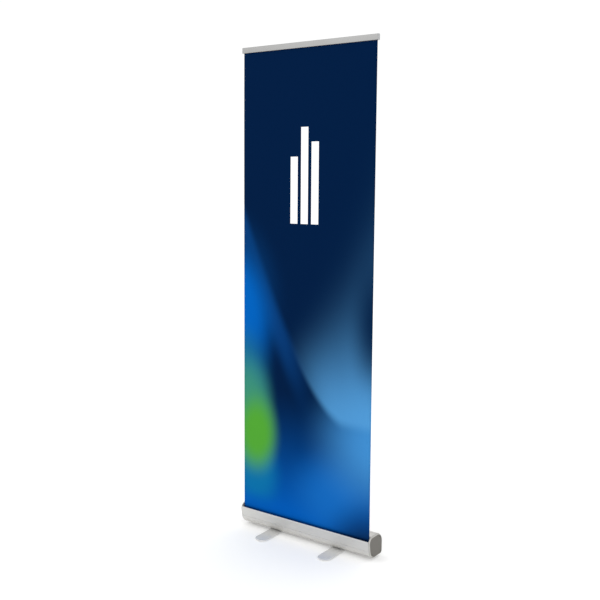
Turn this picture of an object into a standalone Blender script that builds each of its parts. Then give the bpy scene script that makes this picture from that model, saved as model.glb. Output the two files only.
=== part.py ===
"""Retractable banner stand: floor cassette with spring roller, printed sheet, top rail, telescoping pole, two feet.

Metres, +Z up. The origin is on the floor, midway along the cassette, under the line of the two foot pivots.
The sheet faces -Y and runs along X.
"""

import math

import bmesh
import bpy

# ---- driving sizes ----------------------------------------------------------------------------------------------
SHEET_WIDTH = 0.600
SHEET_VISIBLE = 1.835
SHEET_THICKNESS = 0.0005
SHEET_Y = -0.034

GAP = 0.0003
ROUND_STEPS = 40
SMALL_STEPS = 20
CAP_EDGE_STEPS = 4
# how far a cutter runs past the face it opens
PAST = 0.001

# floor to cassette
PAD_HEIGHT = 0.0025
PAD_RADIUS = 0.009
PAD_STEM_RADIUS = 0.0025
PAD_STEM_HEIGHT = 0.0018
FOOT_THICKNESS = 0.004
FOOT_WIDTH = 0.055
FOOT_HALF_LENGTH = 0.136
FOOT_X = 0.150
PAD_INSET = 0.016
SPACER_HEIGHT = 0.0012
SPACER_RADIUS = 0.012
BOLT_RADIUS = 0.003
BOLT_HEAD_RADIUS = 0.0065
BOLT_HEAD_HEIGHT = 0.0018
BOLT_SOCKET_RADIUS = 0.002
BOLT_SOCKET_DEPTH = 0.001
NUT_RADIUS = 0.0058
NUT_HEIGHT = 0.005
BOLT_TIP = 0.001
BOLT_HEAD_ROUND = 0.0006
STEM_CHAMFER = 0.0005
PAD_ROUND = 0.0008
FOOT_EDGE = 0.0008

# cassette section, measured from the sheet's plane (y) and from the underside (z)
SHELL_WALL = 0.0018
SHELL_FRONT = -0.0165
SHELL_BACK = 0.083
SHELL_HEIGHT = 0.0875
SHELL_OVERHANG = 0.003
FRONT_LEAN = 0.0133
LIP_HEIGHT = 0.0730
LIP_END = -0.011
LIP_RADIUS = 0.0025
SHEET_TUCK = 0.0080
FRONT_LOW_RADIUS = 0.038
BACK_LOW_RADIUS = 0.014
CROWN_RADIUS = 0.038
HOOD_FRONT = 0.0045
HOOD_END_HEIGHT = 0.075
HOOD_RADIUS = 0.004
GROOVE_HEIGHT = 0.0350
TOP_GROOVE_Y = 0.041
GROOVE_WIDTH = 0.0024
GROOVE_DEPTH = 0.0008

# end caps
CAP_THICKNESS = 0.005
CAP_EDGE = 0.0045
CAP_INSET = 0.0003
CAP_FRONT_TOP_RADIUS = 0.024
CAP_BOSS_RADIUS = 0.008
CAP_BOSS_DEPTH = 0.001
PORT_RADIUS = 0.0040
PORT_HOLE_RADIUS = 0.0019
PORT_INSET = 0.0086
PORT_DEPTH = 0.020
CAP_SCREW_RADIUS = 0.0016
CAP_SCREW_LENGTH = 0.013
CAP_SCREW_HEAD_RADIUS = 0.0034
CAP_SCREW_HEAD_HEIGHT = 0.0016
CAP_SCREW_SINK = 0.0003
CAP_SCREW_POINT = 0.0025
SCREW_HEAD_ROUND = 0.0006
CROSS_SLOT_WIDTH = 0.0009
CROSS_SLOT_LENGTH = 0.0042
CROSS_SLOT_DEPTH = 0.0008

# roller
ROLLER_Y = 0.052
ROLLER_HEIGHT = 0.037
TUBE_RADIUS = 0.0125
TUBE_WALL = 0.0012
WRAP_THICKNESS = 0.0013
PLUG_FLANGE = 0.0012
PLUG_DEPTH = 0.012
AXLE_RADIUS = 0.003
AXLE_LENGTH = 0.262
AXLE_IN_CAP = 0.0045
STUB_LENGTH = 0.022
SPRING_WIRE = 0.0007
SPRING_RADIUS = 0.0072
SPRING_TURNS = 16
SPRING_LENGTH = 0.200
ANCHOR_LENGTH = 0.014
ANCHOR_INSET = 0.004
AXLE_CHAMFER = 0.0004
LEADER_DROP = 0.0006

# pole
POLE_Y = 0.022
LOWER_RADIUS = 0.0095
POLE_WALL = 0.0010
SECTION_LENGTH = 0.665
SECTION_OVERLAP = 0.070
SOCKET_WALL = 0.0020
SOCKET_DEPTH = 0.0270
SOCKET_FLOOR = 0.0030
FLANGE_HEIGHT = 0.0020
FLANGE_HALF_WIDTH = 0.022
FLANGE_HALF_DEPTH = 0.0150
FLANGE_SCREW_X = 0.0170
FLANGE_CORNER = 0.006
SMALL_SCREW_RADIUS = 0.0013
SMALL_SCREW_LENGTH = 0.0055
SMALL_SCREW_HEAD_RADIUS = 0.0027
SMALL_SCREW_HEAD_HEIGHT = 0.0013
SMALL_HEAD_ROUND = 0.0005
SMALL_SCREW_DIMPLE_DEPTH = 0.0006
SMALL_SCREW_DIMPLE_RADIUS = SMALL_SCREW_HEAD_RADIUS / 4
COLLAR_LENGTH = 0.034
COLLAR_WALL = 0.0032
COLLAR_LEDGE = 0.005
COLLAR_RIBS = 18
COLLAR_RIB_DEPTH = 0.0007
COLLAR_RIB_START = 0.003
COLLAR_RIB_STOP = 0.005
COLLAR_CHAMFER = 0.001
COLLAR_TOP_TAPER = 0.0014
TIP_HEIGHT = 0.008
TIP_INSERT = 0.012
TIP_CHAMFER = 0.0006
TIP_CROWN = 0.003
TIP_SHOULDER = 0.0012
TIP_SHOULDER_DROP = 0.0008

# top rail, measured from the sheet's plane (y) and from the rail's underside (z)
RAIL_HEIGHT = 0.0215
RAIL_HALF_DEPTH = 0.006
RAIL_WALL = 0.0013
RAIL_SLOT_HALF = 0.0014
RAIL_CORNER = 0.0022
RAIL_OVERHANG = 0.0035
RAIL_CAP_THICKNESS = 0.0015
RAIL_CAP_SPIGOT = 0.006
CLAMP_BAR_DEPTH = 0.0034
CLAMP_BAR_HEIGHT = 0.014
CLAMP_NOSE = 0.0004
CLAMP_END_GAP = 0.001
HOLE_PAST = 0.0005
SHEET_IN_RAIL = 0.016
CUP_WALL = 0.003
CUP_TOP = 0.004
CUP_FLANGE_THICKNESS = 0.003
CUP_FLANGE_HALF_WIDTH = 0.021
CUP_FLANGE_LOW = 0.003
CUP_FLANGE_HIGH = 0.0185
CUP_SCREW_X = 0.0165
CUP_LOW = 0.001

# ---- sizes worked out from the ones above -----------------------------------------------------------------------
FOOT_LOW = PAD_HEIGHT + GAP
FOOT_TOP = FOOT_LOW + FOOT_THICKNESS
SHELL_LOW = FOOT_TOP + GAP + SPACER_HEIGHT + GAP
LIP_Z = SHELL_LOW + LIP_HEIGHT
SHELL_TOP = SHELL_LOW + SHELL_HEIGHT
RAIL_LOW = SHELL_LOW + LIP_HEIGHT - SHEET_TUCK + SHEET_VISIBLE
SHELL_HALF = SHEET_WIDTH / 2 + SHELL_OVERHANG
RAIL_HALF = SHEET_WIDTH / 2 + RAIL_OVERHANG
ROLLER_CENTRE = (SHEET_Y + ROLLER_Y, SHELL_LOW + ROLLER_HEIGHT)
POLE_CENTRE_Y = SHEET_Y + POLE_Y
MIDDLE_RADIUS = LOWER_RADIUS - POLE_WALL - GAP
UPPER_RADIUS = MIDDLE_RADIUS - POLE_WALL - GAP
SOCKET_INNER = LOWER_RADIUS + GAP
SOCKET_OUTER = SOCKET_INNER + SOCKET_WALL
SOCKET_LOW = SHELL_TOP - SOCKET_DEPTH
LOWER_LOW = SOCKET_LOW + SOCKET_FLOOR + GAP
MIDDLE_LOW = LOWER_LOW + SECTION_LENGTH - SECTION_OVERLAP
CUP_CEILING = RAIL_LOW + RAIL_HEIGHT - CUP_TOP
UPPER_TOP = CUP_CEILING - GAP - TIP_HEIGHT
UPPER_LOW = MIDDLE_LOW + SECTION_LENGTH - SECTION_OVERLAP


# ---- materials --------------------------------------------------------------------------------------------------
def make_material(name, colour, roughness, metallic):
    material = bpy.data.materials.new(name)
    material.use_nodes = True
    shader = material.node_tree.nodes["Principled BSDF"]
    shader.inputs["Base Color"].default_value = (*colour, 1.0)
    shader.inputs["Roughness"].default_value = roughness
    shader.inputs["Metallic"].default_value = metallic
    material.diffuse_color = (*colour, 1.0)
    return material


def make_materials():
    return {
        "anodised_aluminium": make_material("anodised_aluminium", (0.52, 0.52, 0.51), 0.38, 1.0),
        "brushed_aluminium": make_material("brushed_aluminium", (0.56, 0.56, 0.56), 0.32, 1.0),
        "zinc_steel": make_material("zinc_steel", (0.60, 0.60, 0.58), 0.30, 1.0),
        "black_steel": make_material("black_steel", (0.06, 0.06, 0.06), 0.40, 1.0),
        "spring_steel": make_material("spring_steel", (0.30, 0.30, 0.31), 0.35, 1.0),
        "grey_plastic": make_material("grey_plastic", (0.17, 0.165, 0.15), 0.55, 0.0),
        "black_plastic": make_material("black_plastic", (0.02, 0.02, 0.02), 0.50, 0.0),
        "pale_plastic": make_material("pale_plastic", (0.62, 0.62, 0.60), 0.50, 0.0),
        "rubber": make_material("rubber", (0.03, 0.03, 0.03), 0.80, 0.0),
        "clear_film": make_material("clear_film", (0.75, 0.78, 0.80), 0.25, 0.0),
        "printed_film": make_material("printed_film", (0.01, 0.08, 0.25), 0.35, 0.0),
    }


# ---- mesh helpers -----------------------------------------------------------------------------------------------
def add_object(name, mesh_data, material, smooth=False):
    mesh = bpy.data.meshes.new(name)
    bmesh.ops.recalc_face_normals(mesh_data, faces=mesh_data.faces)
    if smooth:
        for face in mesh_data.faces:
            face.smooth = True
    mesh_data.to_mesh(mesh)
    mesh_data.free()
    if smooth:
        mesh.set_sharp_from_angle(angle=math.radians(40))
    mesh.materials.append(material)
    item = bpy.data.objects.new(name, mesh)
    bpy.context.scene.collection.objects.link(item)
    return item


def add_prism(mesh_data, outline, low, high, place):
    """A closed prism: outline is a list of flat points, place turns (a, b, along) into a 3D point."""
    start = [mesh_data.verts.new(place(a, b, low)) for a, b in outline]
    end = [mesh_data.verts.new(place(a, b, high)) for a, b in outline]
    count = len(outline)
    mesh_data.faces.new(start)
    mesh_data.faces.new(list(reversed(end)))
    for index in range(count):
        following = (index + 1) % count
        mesh_data.faces.new([start[index], end[index], end[following], start[following]])


def add_stack(mesh_data, layers, place):
    """A closed body through outlines with the same number of points, given as (outline, along)."""
    rings = [[mesh_data.verts.new(place(a, b, along)) for a, b in outline] for outline, along in layers]
    count = len(rings[0])
    mesh_data.faces.new(rings[0])
    mesh_data.faces.new(list(reversed(rings[-1])))
    for near, far in zip(rings[:-1], rings[1:]):
        for index in range(count):
            following = (index + 1) % count
            mesh_data.faces.new([near[index], far[index], far[following], near[following]])


def along_x(a, b, along):
    return (along, a, b)


def along_y(a, b, along):
    return (a, along, b)


def along_z(a, b, along):
    return (a, b, along)


def circle(centre, radius, steps):
    return [
        (
            centre[0] + radius * math.cos(2 * math.pi * index / steps),
            centre[1] + radius * math.sin(2 * math.pi * index / steps),
        )
        for index in range(steps)
    ]


def rectangle(low_a, high_a, low_b, high_b):
    return [(low_a, low_b), (high_a, low_b), (high_a, high_b), (low_a, high_b)]


def add_lathe(mesh_data, profile, steps, place, centre, closed):
    """Turns (radius, along) points around an axis: a closed profile makes a ring, an open one is capped."""
    rings = []
    for radius, along in profile:
        rings.append(
            [mesh_data.verts.new(place(a, b, along)) for a, b in circle(centre, radius, steps)]
        )
    pairs = list(zip(rings[:-1], rings[1:]))
    if closed:
        pairs.append((rings[-1], rings[0]))
    else:
        mesh_data.faces.new(list(reversed(rings[0])))
        mesh_data.faces.new(rings[-1])
    for near, far in pairs:
        for index in range(steps):
            following = (index + 1) % steps
            mesh_data.faces.new([near[index], near[following], far[following], far[index]])


def make_lathe(name, profile, steps, place, centre, material, closed=False):
    mesh_data = bmesh.new()
    add_lathe(mesh_data, profile, steps, place, centre, closed)
    return add_object(name, mesh_data, material, smooth=True)


def make_tube(name, inner, outer, low, high, place, centre, material):
    profile = [(inner, low), (outer, low), (outer, high), (inner, high)]
    return make_lathe(name, profile, ROUND_STEPS, place, centre, material, closed=True)


def corner_arc(corners, index):
    """The centre of the arc that rounds a corner, and the direction from the corner to that centre."""
    a, b, radius = corners[index]
    before = corners[index - 1]
    after = corners[(index + 1) % len(corners)]
    into = unit(before[0] - a, before[1] - b)
    out = unit(after[0] - a, after[1] - b)
    half = math.acos(max(-1.0, min(1.0, into[0] * out[0] + into[1] * out[1]))) / 2
    middle = unit(into[0] + out[0], into[1] + out[1])
    centre = (a + middle[0] * radius / math.sin(half), b + middle[1] * radius / math.sin(half))
    reach = radius / math.tan(half)
    first = (a + into[0] * reach - centre[0], b + into[1] * reach - centre[1])
    last = (a + out[0] * reach - centre[0], b + out[1] * reach - centre[1])
    return centre, middle, first, last


def rounded_path(corners, steps):
    """A path through corners given as (a, b, radius), with each corner rounded by an arc."""
    points = []
    for index, (a, b, radius) in enumerate(corners):
        if radius == 0:
            points.append((a, b))
            continue
        centre, _, first, last = corner_arc(corners, index)
        start = math.atan2(first[1], first[0])
        sweep = math.atan2(last[1], last[0]) - start
        sweep = (sweep + math.pi) % (2 * math.pi) - math.pi
        for step in range(steps + 1):
            angle = start + sweep * step / steps
            points.append((centre[0] + radius * math.cos(angle), centre[1] + radius * math.sin(angle)))
    return points


def unit(a, b):
    length = math.hypot(a, b)
    return (a / length, b / length)


def offset_path(points, distance, closed):
    """The path moved sideways, to the left of its direction of travel."""
    count = len(points)
    moved = []
    for index, (a, b) in enumerate(points):
        before = points[index - 1] if closed or index > 0 else None
        after = points[(index + 1) % count] if closed or index < count - 1 else None
        normals = []
        if before is not None:
            along = unit(a - before[0], b - before[1])
            normals.append((-along[1], along[0]))
        if after is not None:
            along = unit(after[0] - a, after[1] - b)
            normals.append((-along[1], along[0]))
        total = unit(sum(n[0] for n in normals), sum(n[1] for n in normals))
        stretch = 1 / (total[0] * normals[0][0] + total[1] * normals[0][1])
        moved.append((a + total[0] * distance * stretch, b + total[1] * distance * stretch))
    return moved


def shifted(points, a, b):
    return [(p[0] + a, p[1] + b) for p in points]


def make_cutter(name, mesh_data):
    cutter = add_object(name, mesh_data, bpy.data.materials["black_plastic"])
    cutter.hide_render = True
    cutter.display_type = "WIRE"
    return cutter


def combine(item, other, operation):
    modifier = item.modifiers.new(operation.lower(), "BOOLEAN")
    modifier.operation = operation
    modifier.solver = "EXACT"
    modifier.object = other


# ---- cassette ---------------------------------------------------------------------------------------------------
def shell_corners():
    """The section's outer corners from the hood's end round the back and underside to the front lip."""
    return [
        (HOOD_FRONT, HOOD_END_HEIGHT, 0),
        (HOOD_FRONT, SHELL_HEIGHT, HOOD_RADIUS),
        (SHELL_BACK, SHELL_HEIGHT, CROWN_RADIUS),
        (SHELL_BACK, 0, BACK_LOW_RADIUS),
        (SHELL_FRONT + FRONT_LEAN, 0, FRONT_LOW_RADIUS),
        (SHELL_FRONT, LIP_HEIGHT, LIP_RADIUS),
        (LIP_END, LIP_HEIGHT, 0),
    ]


def ports():
    """Each screw port's centre and the way to the nearest wall, at the section's three large corners."""
    corners = shell_corners()
    found = []
    for index in (2, 3, 4):
        centre, middle, _, _ = corner_arc(corners, index)
        reach = corners[index][2] - PORT_INSET
        a = SHEET_Y + centre[0] - middle[0] * reach
        b = SHELL_LOW + centre[1] - middle[1] * reach
        found.append(((a, b), (-middle[0], -middle[1])))
    return found


def port_boss(centre, way):
    """A boss round the port's hole, stretched towards the wall until it stands in it."""
    stretch = PORT_INSET - SHELL_WALL / 2 - PORT_RADIUS
    heading = math.atan2(way[1], way[0])
    outline = []
    for end, turn in ((stretch, -math.pi / 2), (0, math.pi / 2)):
        for step in range(SMALL_STEPS // 2 + 1):
            angle = heading + turn + math.pi * step / (SMALL_STEPS // 2)
            a = centre[0] + way[0] * end + PORT_RADIUS * math.cos(angle)
            b = centre[1] + way[1] * end + PORT_RADIUS * math.sin(angle)
            outline.append((a, b))
    return outline


def make_shell(materials):
    outer = rounded_path(shell_corners(), 9)
    inner = offset_path(outer, -SHELL_WALL, closed=False)
    section = shifted(outer + list(reversed(inner)), SHEET_Y, SHELL_LOW)
    body = bmesh.new()
    add_prism(body, section, -SHELL_HALF, SHELL_HALF, along_x)
    shell = add_object("cassette_shell", body, materials["anodised_aluminium"], smooth=True)

    bosses = bmesh.new()
    for centre, way in ports():
        add_prism(bosses, port_boss(centre, way), -SHELL_HALF, SHELL_HALF, along_x)
    combine(shell, make_cutter("cut_ports", bosses), "UNION")

    holes = bmesh.new()
    for centre, _ in ports():
        for side in (-1, 1):
            start, end = sorted((side * (SHELL_HALF + PAST), side * (SHELL_HALF - PORT_DEPTH)))
            add_prism(holes, circle(centre, PORT_HOLE_RADIUS, SMALL_STEPS), start, end, along_x)
    face = SHEET_Y + SHELL_FRONT + FRONT_LEAN * (1 - GROOVE_HEIGHT / LIP_HEIGHT)
    middle = SHELL_LOW + GROOVE_HEIGHT
    front_groove = rectangle(face - PAST, face + GROOVE_DEPTH, middle - GROOVE_WIDTH / 2, middle + GROOVE_WIDTH / 2)
    add_prism(holes, front_groove, -SHELL_HALF - PAST, SHELL_HALF + PAST, along_x)
    middle = SHEET_Y + TOP_GROOVE_Y
    floor = SHELL_TOP - GROOVE_DEPTH
    top_groove = rectangle(middle - GROOVE_WIDTH / 2, middle + GROOVE_WIDTH / 2, floor, SHELL_TOP + PAST)
    add_prism(holes, top_groove, -SHELL_HALF - PAST, SHELL_HALF + PAST, along_x)
    for side in (-1, 1):
        bolt_hole = circle((side * FOOT_X, 0), BOLT_RADIUS + GAP, SMALL_STEPS)
        add_prism(holes, bolt_hole, SHELL_LOW - PAST, SHELL_LOW + SHELL_WALL + PAST, along_z)
        screw_hole = circle((side * FLANGE_SCREW_X, POLE_CENTRE_Y), SMALL_SCREW_RADIUS + GAP, SMALL_STEPS)
        add_prism(holes, screw_hole, SHELL_TOP - SHELL_WALL - PAST, SHELL_TOP + PAST, along_z)
    socket_hole = circle((0, POLE_CENTRE_Y), SOCKET_OUTER + GAP, ROUND_STEPS)
    add_prism(holes, socket_hole, SHELL_TOP - SHELL_WALL - PAST, SHELL_TOP + PAST, along_z)
    combine(shell, make_cutter("cut_shell", holes), "DIFFERENCE")


def cap_outline(inset):
    """The section's outline closed across the slot and pulled in by the inset."""
    corners = shell_corners()[2:5]
    above_lip = FRONT_LEAN * (SHELL_HEIGHT - LIP_HEIGHT) / LIP_HEIGHT
    corners.append((SHELL_FRONT - above_lip, SHELL_HEIGHT, CAP_FRONT_TOP_RADIUS))
    outline = rounded_path(corners, 9)
    return shifted(offset_path(outline, -inset, closed=True), SHEET_Y, SHELL_LOW)


def make_end_cap(materials, name, side):
    inner_face = side * (SHELL_HALF + GAP)
    outer_face = side * (SHELL_HALF + GAP + CAP_THICKNESS)
    layers = [(cap_outline(CAP_INSET), inner_face)]
    for step in range(CAP_EDGE_STEPS + 1):
        angle = math.pi / 2 * step / CAP_EDGE_STEPS
        inset = CAP_INSET + CAP_EDGE * (1 - math.cos(angle))
        layers.append((cap_outline(inset), outer_face - side * CAP_EDGE * (1 - math.sin(angle))))
    plate = bmesh.new()
    add_stack(plate, layers, along_x)
    cap = add_object(name, plate, materials["grey_plastic"], smooth=True)

    boss = bmesh.new()
    boss_end = side * (SHELL_HALF - CAP_BOSS_DEPTH)
    boss_start = side * (SHELL_HALF + CAP_THICKNESS / 2)
    low, high = sorted((boss_end, boss_start))
    add_prism(boss, circle(ROLLER_CENTRE, CAP_BOSS_RADIUS, SMALL_STEPS), low, high, along_x)
    combine(cap, make_cutter("cut_" + name + "_boss", boss), "UNION")

    holes = bmesh.new()
    sink_floor = outer_face - side * (CAP_SCREW_HEAD_HEIGHT + CAP_SCREW_SINK)
    profile = [
        (PORT_HOLE_RADIUS, inner_face - side * PAST),
        (PORT_HOLE_RADIUS, sink_floor),
        (CAP_SCREW_HEAD_RADIUS + GAP, sink_floor),
        (CAP_SCREW_HEAD_RADIUS + GAP, outer_face + side * PAST),
    ]
    for centre, _ in ports():
        add_lathe(holes, profile, SMALL_STEPS, along_x, centre, closed=False)
    axle_end = side * (SHELL_HALF - CAP_BOSS_DEPTH + AXLE_IN_CAP + GAP)
    low, high = sorted((boss_end - side * PAST, axle_end))
    add_prism(holes, circle(ROLLER_CENTRE, AXLE_RADIUS + GAP, SMALL_STEPS), low, high, along_x)
    combine(cap, make_cutter("cut_" + name, holes), "DIFFERENCE")


def make_cap_screws(materials):
    for side, side_name in ((-1, "left"), (1, "right")):
        for number, (centre, _) in enumerate(ports(), 1):
            seat = SHELL_HALF + GAP + CAP_THICKNESS - CAP_SCREW_HEAD_HEIGHT - CAP_SCREW_SINK + GAP
            head_end = seat + CAP_SCREW_HEAD_HEIGHT
            slot_floor = head_end - CROSS_SLOT_DEPTH
            tip = seat - CAP_SCREW_LENGTH
            profile = [
                (CAP_SCREW_RADIUS * 0.4, side * tip),
                (CAP_SCREW_RADIUS, side * (tip + CAP_SCREW_POINT)),
                (CAP_SCREW_RADIUS, side * seat),
                (CAP_SCREW_HEAD_RADIUS, side * seat),
                (CAP_SCREW_HEAD_RADIUS, side * (head_end - SCREW_HEAD_ROUND)),
                (CAP_SCREW_HEAD_RADIUS * 0.7, side * head_end),
                (CROSS_SLOT_LENGTH / 2 * 0.8, side * head_end),
                (CROSS_SLOT_WIDTH, side * slot_floor),
            ]
            name = "cap_screw_" + side_name + "_" + str(number)
            make_lathe(name, profile, SMALL_STEPS, along_x, centre, materials["black_steel"])


# ---- roller -----------------------------------------------------------------------------------------------------
def make_roller(materials):
    half = SHEET_WIDTH / 2
    tube_inner = TUBE_RADIUS - TUBE_WALL
    metal = materials["brushed_aluminium"]
    plastic = materials["black_plastic"]
    make_tube("roller_tube", tube_inner, TUBE_RADIUS, -half, half, along_x, ROLLER_CENTRE, metal)
    wrap_inner = TUBE_RADIUS + GAP
    wrap_outer = wrap_inner + WRAP_THICKNESS
    film = materials["clear_film"]
    make_tube("leader_wraps", wrap_inner, wrap_outer, -half + GAP, half - GAP, along_x, ROLLER_CENTRE, film)
    for side, side_name in ((-1, "left"), (1, "right")):
        bore = AXLE_RADIUS + GAP
        insert = tube_inner - GAP
        inner_end = half - PLUG_DEPTH
        flange_start = half + GAP
        flange_end = flange_start + PLUG_FLANGE
        profile = [
            (bore, side * inner_end),
            (insert, side * inner_end),
            (insert, side * flange_start),
            (TUBE_RADIUS, side * flange_start),
            (TUBE_RADIUS, side * flange_end),
            (bore, side * flange_end),
        ]
        name = "roller_plug_" + side_name
        make_lathe(name, profile, ROUND_STEPS, along_x, ROLLER_CENTRE, plastic, closed=True)


def make_spring_parts(materials):
    axle_start = -SHELL_HALF + CAP_BOSS_DEPTH - AXLE_IN_CAP
    axle_end = axle_start + AXLE_LENGTH
    steel = materials["zinc_steel"]
    profile = [
        (AXLE_RADIUS - AXLE_CHAMFER, axle_start),
        (AXLE_RADIUS, axle_start + AXLE_CHAMFER),
        (AXLE_RADIUS, axle_end - AXLE_CHAMFER),
        (AXLE_RADIUS - AXLE_CHAMFER, axle_end),
    ]
    make_lathe("spring_axle", profile, SMALL_STEPS, along_x, ROLLER_CENTRE, steel)
    stub_end = SHELL_HALF - CAP_BOSS_DEPTH + AXLE_IN_CAP
    stub_start = stub_end - STUB_LENGTH
    profile = [
        (AXLE_RADIUS - AXLE_CHAMFER, stub_start),
        (AXLE_RADIUS, stub_start + AXLE_CHAMFER),
        (AXLE_RADIUS, stub_end - AXLE_CHAMFER),
        (AXLE_RADIUS - AXLE_CHAMFER, stub_end),
    ]
    make_lathe("stub_axle", profile, SMALL_STEPS, along_x, ROLLER_CENTRE, steel)

    anchor_end = axle_end - ANCHOR_INSET
    anchor_start = anchor_end - ANCHOR_LENGTH
    bore = AXLE_RADIUS + GAP
    outer = TUBE_RADIUS - TUBE_WALL - GAP
    profile = [(bore, anchor_start), (outer, anchor_start), (outer, anchor_end), (bore, anchor_end)]
    plastic = materials["black_plastic"]
    make_lathe("spring_anchor", profile, ROUND_STEPS, along_x, ROLLER_CENTRE, plastic, closed=True)
    make_spring(materials, anchor_start - GAP - SPRING_WIRE - SPRING_LENGTH)


def make_spring(materials, start):
    """Round wire wound on a helix round the axle, closed by a flat face at each end."""
    per_turn = 12
    sides = 6
    body = bmesh.new()
    rings = []
    total = SPRING_TURNS * per_turn
    for step in range(total + 1):
        angle = 2 * math.pi * step / per_turn
        along = start + SPRING_LENGTH * step / total
        ring = []
        for a, b in circle((SPRING_RADIUS, along), SPRING_WIRE, sides):
            y = ROLLER_CENTRE[0] + a * math.cos(angle)
            z = ROLLER_CENTRE[1] + a * math.sin(angle)
            ring.append(body.verts.new((b, y, z)))
        rings.append(ring)
    body.faces.new(rings[0])
    body.faces.new(list(reversed(rings[-1])))
    for near, far in zip(rings[:-1], rings[1:]):
        for index in range(sides):
            following = (index + 1) % sides
            body.faces.new([near[index], far[index], far[following], near[following]])
    add_object("torsion_spring", body, materials["spring_steel"], smooth=True)


# ---- sheet ------------------------------------------------------------------------------------------------------
def make_sheet(materials):
    half = SHEET_WIDTH / 2
    body = bmesh.new()
    outline = rectangle(-half, half, LIP_Z - SHEET_TUCK, RAIL_LOW + SHEET_IN_RAIL)
    low = SHEET_Y - SHEET_THICKNESS / 2
    add_prism(body, outline, low, low + SHEET_THICKNESS, along_y)
    add_object("graphic_sheet", body, materials["printed_film"])


def make_leader(materials):
    """The strip that joins the sheet to the roller: from under the lip down to the turns on the tube."""
    half = SHEET_WIDTH / 2
    top = (SHEET_Y, LIP_Z - SHEET_TUCK - GAP - LEADER_DROP)
    wound = TUBE_RADIUS + GAP + WRAP_THICKNESS + GAP + SHEET_THICKNESS / 2
    across = (ROLLER_CENTRE[0] - top[0], ROLLER_CENTRE[1] - top[1])
    distance = math.hypot(*across)
    angle = math.atan2(across[1], across[0]) - math.asin(wound / distance)
    reach = math.sqrt(distance * distance - wound * wound)
    end = (top[0] + reach * math.cos(angle), top[1] + reach * math.sin(angle))
    sideways = (-math.sin(angle) * SHEET_THICKNESS / 2, math.cos(angle) * SHEET_THICKNESS / 2)
    outline = [
        (top[0] - sideways[0], top[1] - sideways[1]),
        (end[0] - sideways[0], end[1] - sideways[1]),
        (end[0] + sideways[0], end[1] + sideways[1]),
        (top[0] + sideways[0], top[1] + sideways[1]),
    ]
    body = bmesh.new()
    add_prism(body, outline, -half, half, along_x)
    add_object("leader_strip", body, materials["clear_film"])


# ---- top rail ---------------------------------------------------------------------------------------------------
def rail_corners():
    return [
        (RAIL_SLOT_HALF, 0, 0),
        (RAIL_HALF_DEPTH, 0, RAIL_CORNER / 2),
        (RAIL_HALF_DEPTH, RAIL_HEIGHT, RAIL_CORNER),
        (-RAIL_HALF_DEPTH, RAIL_HEIGHT, RAIL_CORNER),
        (-RAIL_HALF_DEPTH, 0, RAIL_CORNER / 2),
        (-RAIL_SLOT_HALF, 0, 0),
    ]


def make_rail(materials):
    outer = rounded_path(rail_corners(), 5)
    inner = offset_path(outer, RAIL_WALL, closed=False)
    section = shifted(outer + list(reversed(inner)), SHEET_Y, RAIL_LOW)
    body = bmesh.new()
    add_prism(body, section, -RAIL_HALF, RAIL_HALF, along_x)
    rail = add_object("top_rail", body, materials["anodised_aluminium"], smooth=True)
    holes = bmesh.new()
    wall_y = SHEET_Y + RAIL_HALF_DEPTH
    height = RAIL_LOW + (CUP_FLANGE_LOW + CUP_FLANGE_HIGH) / 2
    for side in (-1, 1):
        hole = circle((side * CUP_SCREW_X, height), SMALL_SCREW_RADIUS + GAP, SMALL_STEPS)
        add_prism(holes, hole, wall_y - RAIL_WALL - HOLE_PAST, wall_y + HOLE_PAST, along_y)
    combine(rail, make_cutter("cut_rail", holes), "DIFFERENCE")


def make_rail_caps(materials):
    closed_corners = rail_corners()[1:5]
    plate_outline = shifted(rounded_path(closed_corners, 5), SHEET_Y, RAIL_LOW)
    inset = RAIL_WALL + GAP
    spigot = rectangle(
        SHEET_Y - RAIL_HALF_DEPTH + inset,
        SHEET_Y - SHEET_THICKNESS / 2 - GAP - CLAMP_NOSE,
        RAIL_LOW + inset,
        RAIL_LOW + RAIL_HEIGHT - inset,
    )
    for side, side_name in ((-1, "left"), (1, "right")):
        plate_start = side * (RAIL_HALF + GAP)
        plate_end = side * (RAIL_HALF + GAP + RAIL_CAP_THICKNESS)
        body = bmesh.new()
        add_prism(body, plate_outline, *sorted((plate_start, plate_end)), along_x)
        name = "rail_cap_" + side_name
        cap = add_object(name, body, materials["pale_plastic"], smooth=True)
        tongue = bmesh.new()
        tongue_end = side * (RAIL_HALF - RAIL_CAP_SPIGOT)
        low, high = sorted((plate_start + side * RAIL_CAP_THICKNESS / 2, tongue_end))
        add_prism(tongue, spigot, low, high, along_x)
        combine(cap, make_cutter("cut_" + name, tongue), "UNION")


def make_clamp_bar(materials):
    low_y = SHEET_Y + SHEET_THICKNESS / 2 + GAP
    low_z = RAIL_LOW + RAIL_WALL + GAP
    outline = rectangle(low_y, low_y + CLAMP_BAR_DEPTH, low_z, low_z + CLAMP_BAR_HEIGHT)
    body = bmesh.new()
    add_prism(body, outline, -RAIL_HALF + RAIL_CAP_SPIGOT + CLAMP_END_GAP, RAIL_HALF - RAIL_CAP_SPIGOT - CLAMP_END_GAP, along_x)
    add_object("clamp_bar", body, materials["black_plastic"])


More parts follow.
